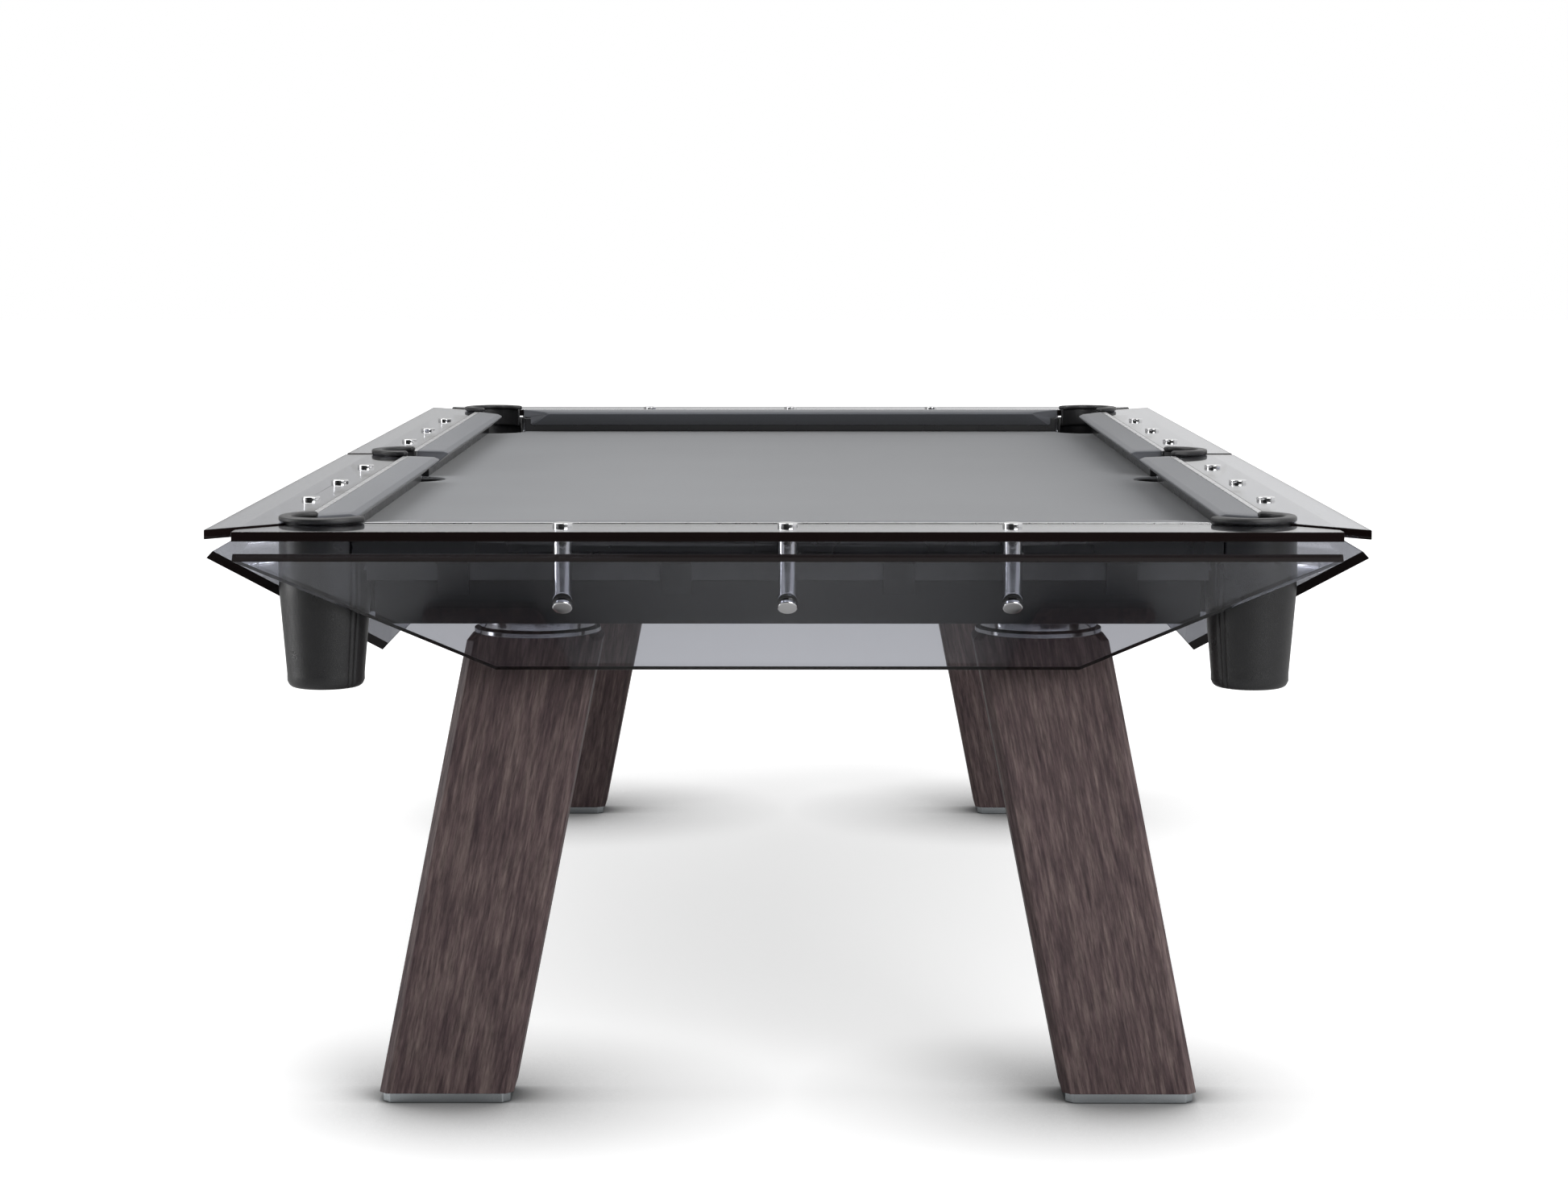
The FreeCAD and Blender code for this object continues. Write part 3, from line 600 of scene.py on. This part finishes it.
def rounded_outline(corner_points, radii, steps=7):
    """Closed outline with each corner turned into an arc that touches both its sides.

    The arc's centre lies on the corner's bisector, away by the radius over the sine of half the
    angle, and its points turn evenly from one touching point to the other.
    """
    at = np.asarray(corner_points, float)
    radii = np.asarray(radii, float)[:, None]
    back = np.roll(at, 1, axis=0) - at
    ahead = np.roll(at, -1, axis=0) - at
    back /= np.linalg.norm(back, axis=1, keepdims=True)
    ahead /= np.linalg.norm(ahead, axis=1, keepdims=True)
    half = np.arccos(np.clip(np.sum(back * ahead, axis=1, keepdims=True), -1, 1)) / 2
    middle = back + ahead
    middle /= np.linalg.norm(middle, axis=1, keepdims=True)
    centre = at + middle * radii / np.sin(half)
    start = at + back * radii / np.tan(half) - centre
    stop = at + ahead * radii / np.tan(half) - centre
    crossed = start[:, 0] * stop[:, 1] - start[:, 1] * stop[:, 0]
    sweep = np.arctan2(crossed, np.sum(start * stop, axis=1))
    turn = sweep[:, None] * np.linspace(0, 1, steps)[None, :]
    x = centre[:, :1] + np.cos(turn) * start[:, :1] - np.sin(turn) * start[:, 1:]
    y = centre[:, 1:] + np.sin(turn) * start[:, :1] + np.cos(turn) * start[:, 1:]
    return np.stack([x.ravel(), y.ravel()], axis=-1)


def outward(outline):
    """Unit normals of a closed outline that runs anticlockwise."""
    along = np.roll(outline, -1, axis=0) - np.roll(outline, 1, axis=0)
    normal = np.stack([along[:, 1], -along[:, 0]], axis=-1)
    return normal / np.linalg.norm(normal, axis=1, keepdims=True)


def grid_faces(rows, columns, joined):
    """Faces of a grid of points that closes on itself along the joined axis, one for each cell."""
    index = np.arange(rows * columns).reshape(rows, columns)
    index = np.concatenate([index, index.take([0], axis=joined)], axis=joined)
    return np.stack(
        [index[:-1, :-1], index[:-1, 1:], index[1:, 1:], index[1:, :-1]], axis=-1
    ).reshape(-1, 4).tolist()


def tube_faces(rows, columns):
    """Faces of a row of rings, joined round each ring, with one face across each end."""
    ends = [list(range(columns))[::-1], list(range((rows - 1) * columns, rows * columns))]
    return grid_faces(rows, columns, joined=1) + ends


def bar_between(profile, start, stop, round_end, rings=4, spans=24):
    """Profile carried from a start to a stop that differ from point to point, with rounded ends.

    Each end's rings follow a quarter circle: set in by one minus sine and back by one minus cosine.
    Returns distance along, and the profile of each ring.
    """
    quarter = np.linspace(0, math.pi / 2, rings)
    rounding = 1 - np.sin(quarter)
    inset = round_end * np.concatenate([rounding, np.zeros(spans - 1), rounding[::-1]])
    setback = round_end * (1 - np.cos(quarter))
    outline = profile[None, :, :] - outward(profile)[None, :, :] * inset[:, None, None]
    share = np.linspace(0, 1, spans + 1)[1:-1]
    first = start[None, :] + setback[:, None]
    last = stop[None, :] - setback[::-1, None]
    middle = first[-1] * (1 - share[:, None]) + last[0] * share[:, None]
    return np.concatenate([first, middle, last]), outline


nose_z = bed_top + nose_above_bed
cushion_profile = rounded_outline(
    [
        (0, nose_z - nose_half_height),
        (cushion_overhang, cushion_foot),
        (cushion_overhang, rail_top),
        (cushion_width, rail_top),
        (cushion_width, cushion_top),
        (facet_run, bed_top + facet_rise),
        (0, nose_z + nose_half_height),
    ],
    [nose_round, back_round, seat_round, back_round, back_round, facet_round, nose_round],
)


def pocket_cut(x, centre_x, centre_y):
    """Distance from the pocket's own line at which its round clearance ends, for each x."""
    clear = cup_radius + cushion_pocket_gap
    return np.sqrt(np.maximum(clear**2 - (x - centre_x) ** 2, 0)) + centre_y


def cushion_mesh(name, along, outline, nose, place):
    """Closed cushion: across is measured out from the nose, and place turns it to its rail.

    A place that mirrors, whose matrix has a negative determinant, has its faces turned back.
    """
    points = place(nose + outline[:, :, 0], along, outline[:, :, 1]).reshape(-1, 3)
    made = mesh_object(name, points.tolist(), tube_faces(*along.shape), sharp_above=50)
    if np.linalg.det(place(*np.eye(3))) < 0:
        made.data.flip_normals()
    return made


cushion_worsted = worsted("cushion_worsted", cushion_colour)
offset = cushion_profile[:, 0]
jaw_share = offset / cushion_width
corner_x, corner_y = (abs(value) for value in pocket_centres[2])
side_x = abs(pocket_centres[0][0])

side_start = np.maximum(
    side_nose_setback - side_jaw_run * jaw_share, pocket_cut(nose_x + offset, side_x, 0)
)
side_stop = np.minimum(
    nose_y - corner_nose_setback + corner_jaw_run * jaw_share,
    2 * corner_y - pocket_cut(nose_x + offset, corner_x, corner_y),
)
end_stop = np.minimum(
    nose_x - corner_nose_setback + corner_jaw_run * jaw_share,
    2 * corner_x - pocket_cut(nose_y + offset, corner_y, corner_x),
)
side_along, side_outline = bar_between(cushion_profile, side_start, side_stop, end_round)
end_along, end_outline = bar_between(cushion_profile, -end_stop, end_stop, end_round)

for side, side_sign in (("left", -1), ("right", 1)):
    for half, half_sign in (("front", -1), ("back", 1)):
        cushion = cushion_mesh(
            f"cloth_cushion_{side}_{half}", side_along, side_outline, nose_x,
            lambda across, along, up: np.stack(
                [side_sign * across, half_sign * along, up], axis=-1
            ),
        )
        cushion.data.materials.append(cushion_worsted)
        settle(cushion, "table_top", "cushion_cloth", f"cushion_{side}_{half}")
for half, half_sign in (("front", -1), ("back", 1)):
    cushion = cushion_mesh(
        f"cloth_cushion_{half}", end_along, end_outline, nose_y,
        lambda across, along, up: np.stack(
            [-half_sign * along, half_sign * across, up], axis=-1
        ),
    )
    cushion.data.materials.append(cushion_worsted)
    settle(cushion, "table_top", "cushion_cloth", f"cushion_{half}")


# Rails
# Black lacquered rails that the cushions sit on, with a brushed aluminium strip
# standing between cushion and glass.

strip_edge = 0.0006
rail_lacquer = cloudy_finish(
    "rail_lacquer", scale=12.0, low=0.22, high=0.34,
    Base_Color=(0.014, 0.014, 0.015, 1), Coat_Weight=0.3,
)
for node in ("side_rails", "end_rails"):
    rail = merged_copy(node, "black_" + node, board_edge)
    rail.data.materials.append(rail_lacquer)
    settle(rail, "table_top", "black_rail", node)

strip_finish = cloudy_finish(
    "strip_finish", scale=90.0, low=0.24, high=0.36,
    Base_Color=(0.72, 0.72, 0.73, 1), Metallic=1.0,
)
strips = merged_copy("trim_strips", "aluminium_strips", strip_edge)
strips.data.materials.append(strip_finish)
settle(strips, "table_top", "trim_aluminium", "trim_strips")


# Glass
# Twelve panels of smoked glass, twelve millimetres thick, with ground arrises and polished
# edges that look almost black because the light has so far to go through them.

glass_edge = 0.0008
broad_face_above = 0.9
smoked = plain_material(
    "smoked_glass_finish", Base_Color=(0.69, 0.705, 0.765, 1),
    Roughness=0.0, IOR=1.5, Transmission_Weight=1.0,
)[0]
glass_arris = cloudy_finish(
    "glass_arris", scale=60.0, low=0.05, high=0.10,
    Base_Color=(0.008, 0.005, 0.005, 1), Specular_IOR_Level=0.25,
)

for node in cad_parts:
    if not node.startswith(("top_glass_", "skirt_glass_")):
        continue
    panel = merged_copy(node, "smoked_" + node, glass_edge)
    panel.data.materials.append(smoked)
    panel.data.materials.append(glass_arris)
    count = len(panel.data.polygons)
    normals = np.empty(count * 3)
    areas = np.empty(count)
    panel.data.polygons.foreach_get("normal", normals)
    panel.data.polygons.foreach_get("area", areas)
    normals = normals.reshape(-1, 3)
    facing = np.abs(normals @ normals[np.argmax(areas)])
    on_edge = (facing < broad_face_above).astype(np.int32)
    panel.data.polygons.foreach_set("material_index", on_edge)
    settle(panel, "table_top", "smoked_glass", node)


# Posts and caps
# Chromed posts stand between skirt and rail top, tied to the rail by a stud, and a
# screwed cap holds each glass panel down on a rubber washer.

chrome_finish = cloudy_finish(
    "chrome_finish", scale=45.0, low=0.05, high=0.12,
    Base_Color=(0.78, 0.78, 0.79, 1), Metallic=1.0,
)
for node, post_edge in (("sight_pillars", 0.0006), ("sight_caps", 0), ("skirt_caps", 0)):
    fitting = merged_copy(node, "chrome_" + node, post_edge)
    fitting.data.materials.append(chrome_finish)
    settle(fitting, "table_top", "chrome", node)
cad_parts["rail_studs"].material_slots[0].material = chrome_finish
pad_rubber = cloudy_finish(
    "pad_rubber_finish", scale=200.0, low=0.7, high=0.85, Base_Color=(0.02, 0.02, 0.02, 1)
)
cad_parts["glass_pads"].material_slots[0].material = pad_rubber


# Pocket cups
# Moulded black leather cups hung in the six pockets, cut low on the side towards the bed,
# with a raised seam round the bottom and two sewn seams down the side.

cup_wall = 0.003
cup_bottom_radius = 0.048
cup_bottom_round = 0.008
cup_straight_depth = 0.045
cup_rim_radius = 0.052
cup_rim_step = 0.0004
cup_rim_inner_round = 0.001
cup_mouth_drop = 0.003
cup_mouth_lag = 0.02
cup_mouth_blend = 0.012
corner_open_angle = math.radians(126)
side_open_angle = math.radians(166)
cup_seam_angles = (math.radians(81), math.radians(90))
cup_seam_depth = 0.0014
cup_seam_width = 0.0016
cup_ring_height = 0.0011
cup_ring_rise = 0.001
cup_ring_width = 0.0016
cup_base_steps, cup_bend_steps, cup_slope_steps, cup_straight_steps = 5, 8, 13, 9
cup_low, cup_top = cup_boxes["middle_left"][0][2], cup_boxes["middle_left"][1][2]

# Group: fine hide grain, the cells' edges as creases, over slow swellings.
hide, hide_in, hide_out = shader_group(
    "hide", {"Position": "Vector", "Cells": "Float"}, {"Height": "Float", "Tone": "Float"}
)
creases = add_node(
    hide, "ShaderNodeTexVoronoi",
    {"Vector": hide_in.outputs["Position"], "Scale": hide_in.outputs["Cells"]},
    feature="DISTANCE_TO_EDGE",
)
crease_height = add_node(
    hide, "ShaderNodeMapRange", {"Value": creases.outputs["Distance"], "From Max": 0.18}
)
swell = add_node(
    hide, "ShaderNodeTexNoise",
    {"Vector": hide_in.outputs["Position"], "Scale": 55.0, "Detail": 3.0},
)
hide_height = add_node(
    hide, "ShaderNodeMath",
    {0: swell.outputs["Fac"], 1: 1.4, 2: crease_height.outputs[0]}, operation="MULTIPLY_ADD",
)
hide.links.new(hide_height.outputs[0], hide_out.inputs["Height"])
hide_tone = add_node(
    hide, "ShaderNodeMapRange", {"Value": swell.outputs["Fac"], "To Min": 0.7, "To Max": 1.35}
)
hide.links.new(hide_tone.outputs[0], hide_out.inputs["Tone"])


def black_leather(name, colour, cells, low, high):
    """Black hide with a fine grain and a soft uneven polish."""
    made, shader = plain_material(name, Coat_Weight=0.15, Coat_Roughness=0.35)
    tree = made.node_tree
    position = object_position(tree)
    skin = place_group(tree, hide, {"Position": position, "Cells": cells})
    shaded = add_node(
        tree, "ShaderNodeVectorMath",
        {0: colour, "Scale": skin.outputs["Tone"]}, operation="SCALE",
    )
    tree.links.new(shaded.outputs[0], shader.inputs["Base Color"])
    polish = place_group(
        tree, cloud, {"Position": position, "Scale": 40.0, "Low": low, "High": high}
    )
    tree.links.new(polish.outputs["Value"], shader.inputs["Roughness"])
    bump = add_node(
        tree, "ShaderNodeBump",
        {"Strength": 0.35, "Distance": 0.0003, "Height": skin.outputs["Height"]},
    )
    tree.links.new(bump.outputs[0], shader.inputs["Normal"])
    return made


def face_outwards(piece):
    """Join a closed piece's doubled points at its seams and poles and turn its faces outwards."""
    work = bmesh.new()
    work.from_mesh(piece.data)
    bmesh.ops.remove_doubles(work, verts=work.verts, dist=1e-5)
    bmesh.ops.recalc_face_normals(work, faces=work.faces)
    work.to_mesh(piece.data)
    work.free()


def turned_to(points, name):
    """Turn a fitting made about the Z axis, mouth towards -X, to its pocket's place and side."""
    low, high = cup_boxes[name]
    centre_x, centre_y = (low[0] + high[0]) / 2, (low[1] + high[1]) / 2
    angle = 0.0 if name.startswith("middle") else math.pi / 4
    x = points[..., 0] * math.cos(angle) - points[..., 1] * math.sin(angle)
    y = points[..., 0] * math.sin(angle) + points[..., 1] * math.cos(angle)
    sign_x = math.copysign(1, centre_x)
    sign_y = -1 if name.startswith("front") else 1
    placed = [centre_x + sign_x * x, centre_y + sign_y * y, points[..., 2]]
    return np.stack(placed, axis=-1)


def cup_mesh(name, open_angle, rounds=180):
    """Cup as a closed profile turned about Z: up the outside, over the rim and down the inside.

    In the mouth's sector the heights are held down to the mouth's edge and the rim's overhang is
    drawn back to the wall. The seams are grooves and the ring round the bottom a swelling, each a
    narrow bell curve of the distance from its middle, times its depth or height.
    """
    bottom_centre = cup_bottom_radius - cup_bottom_round
    quarter = np.linspace(-math.pi / 2, 0, cup_bend_steps)
    outer_r = np.concatenate([
        np.linspace(0, bottom_centre, cup_base_steps, endpoint=False),
        bottom_centre + cup_bottom_round * np.cos(quarter),
        np.linspace(cup_bottom_radius, cup_radius, cup_slope_steps + 1)[1:],
        np.full(cup_straight_steps, cup_radius),
    ])
    shoulder = bed_top - cup_straight_depth
    bottom_z = cup_low + cup_bottom_round
    outer_z = np.concatenate([
        np.full(cup_base_steps, cup_low),
        bottom_z + cup_bottom_round * np.sin(quarter),
        np.linspace(bottom_z, shoulder, cup_slope_steps + 1)[1:],
        np.linspace(shoulder, cup_top - 3 * cup_rim_step, cup_straight_steps + 1)[1:],
    ])
    from_ring = (outer_z - bottom_z - cup_ring_rise) / cup_ring_width
    ring = cup_ring_height * np.exp(-from_ring**2) * (outer_r > bottom_centre)
    rim_r = np.array([
        cup_radius - cup_rim_step, cup_radius - 4 * cup_rim_step,
        cup_rim_radius + cup_rim_inner_round, cup_rim_radius,
    ])
    rim_z = np.array([cup_top - cup_rim_step, cup_top, cup_top, cup_top - cup_rim_inner_round])
    inner_r = np.concatenate([[cup_rim_radius], np.maximum(outer_r[::-1] - cup_wall, 0)])
    inner_z = np.concatenate([
        [cup_top - cup_wall],
        np.clip(outer_z[::-1], cup_low + cup_wall, cup_top - 2 * cup_wall),
    ])
    radius = np.concatenate([outer_r + ring, rim_r, inner_r])[None, :]
    height = np.concatenate([outer_z, rim_z, inner_z])[None, :]
    outside = (np.arange(radius.size) < outer_r.size)[None, :]
    angle = np.linspace(0, 2 * math.pi, rounds, endpoint=False)[:, None]
    from_mouth = np.abs(angle - math.pi)
    mouth = 1 / (1 + np.exp((from_mouth - open_angle / 2 - cup_mouth_lag) / cup_mouth_blend))
    edge = bed_top - cup_mouth_drop
    overhang = (height > edge) & (radius < cup_radius - cup_wall)
    radius = np.where(overhang, radius + mouth * (cup_radius - cup_wall - radius), radius)
    height = height + mouth * (np.minimum(height, edge) - height)
    from_seams = [(from_mouth - seam) * cup_radius / cup_seam_width for seam in cup_seam_angles]
    groove = cup_seam_depth * sum(np.exp(-from_seam**2) for from_seam in from_seams)
    radius = radius - groove * (outside & (radius > bottom_centre))
    points = np.stack([radius * np.cos(angle), radius * np.sin(angle), height], axis=-1)
    placed = turned_to(points, name)
    faces = grid_faces(*placed.shape[:2], joined=0)
    made = mesh_object(
        "leather_cup_" + name, placed.reshape(-1, 3).tolist(), faces, sharp_above=60
    )
    face_outwards(made)
    return made


cup_leather = black_leather(
    "cup_leather", (0.009, 0.009, 0.010), cells=520.0, low=0.27, high=0.36
)
for name in cup_names:
    open_angle = side_open_angle if name.startswith("middle") else corner_open_angle
    cup = cup_mesh(name, open_angle)
    cup.data.materials.append(cup_leather)
    settle(cup, "table_top", "pocket_leather", "pocket_cup_" + name)


# Pocket collars
# Padded leather collars, open towards the bed, that lie on the glass round each pocket
# with a thin neck tucked down inside the cup.

collar_outer = 0.058
collar_mouth = 0.042
collar_neck_wall = 0.004
collar_neck_depth = 0.031
collar_rest_gap = 0.0003
pad_flatness, neck_flatness = 0.62, 0.3
pad_end_round, neck_end_round = 0.006, 0.002
smallest_ring = 0.02
collar_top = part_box("side_collars")[1][2]
collar_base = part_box("top_glass_front")[1][2] + collar_rest_gap


def swollen_section(inner, outer, low, high, flatness, steps=40):
    """Outline of a padded strip: radius and height are powers below one of a cosine and a sine.

    The lower the power, the flatter the strip's faces and the tighter its corners.
    """
    turn = np.linspace(0, 2 * math.pi, steps, endpoint=False)
    across = np.sign(np.cos(turn)) * np.abs(np.cos(turn)) ** flatness
    up = np.sign(np.sin(turn)) * np.abs(np.sin(turn)) ** flatness
    radius = (inner + outer + (outer - inner) * across) / 2
    height = (low + high + (high - low) * up) / 2
    return np.stack([radius, height], axis=-1)


def open_ring(section, sweep, end_round, rounds=96, rings=9):
    """Section carried round an arc about Z and closed at both ends.

    Near an end the section shrinks almost to its middle as a sine while the arc advances as one
    minus cosine, so the end is a quarter round.
    """
    middle = (section.min(axis=0) + section.max(axis=0)) / 2
    quarter = np.linspace(0, math.pi / 2, rings)
    back = end_round * (1 - np.cos(quarter)) / middle[0]
    share = np.linspace(0, 1, rounds + 1)[1:-1]
    size = np.concatenate([np.sin(quarter), np.ones(rounds - 1), np.sin(quarter[::-1])])
    size = np.maximum(size, smallest_ring)[:, None, None]
    along = np.concatenate([back, back[-1] + share * (sweep - 2 * back[-1]), sweep - back[::-1]])
    angle = (along - sweep / 2)[:, None]
    ring = middle + (section[None, :, :] - middle) * size
    radius, height = ring[:, :, 0], ring[:, :, 1]
    return np.stack([radius * np.cos(angle), radius * np.sin(angle), height], axis=-1)


def collar_mesh(name, open_angle):
    """Collar of two closed shells, the pad on the glass and the neck inside the cup."""
    sweep = 2 * math.pi - open_angle
    pad = swollen_section(collar_mouth, collar_outer, collar_base, collar_top, pad_flatness)
    neck = swollen_section(
        cup_rim_radius - collar_neck_wall, cup_rim_radius,
        collar_base - collar_neck_depth, (collar_base + collar_top) / 2, neck_flatness,
    )
    points, faces = [], []
    for section, end_round in ((pad, pad_end_round), (neck, neck_end_round)):
        shell = turned_to(open_ring(section, sweep, end_round), name)
        first = len(points)
        faces += [[first + place for place in face] for face in tube_faces(*shell.shape[:2])]
        points += shell.reshape(-1, 3).tolist()
    made = mesh_object("leather_collar_" + name, points, faces, sharp_above=60)
    face_outwards(made)
    return made


collar_leather = black_leather(
    "collar_leather", (0.014, 0.014, 0.015), cells=430.0, low=0.32, high=0.45
)
for name in cup_names:
    if name.startswith("middle"):
        node, open_angle = "side_collars", side_open_angle
    else:
        node, open_angle = "corner_collars_" + name.split("_")[0], corner_open_angle
    collar = collar_mesh(name, open_angle)
    collar.data.materials.append(collar_leather)
    settle(collar, "table_top", "pocket_leather", node)
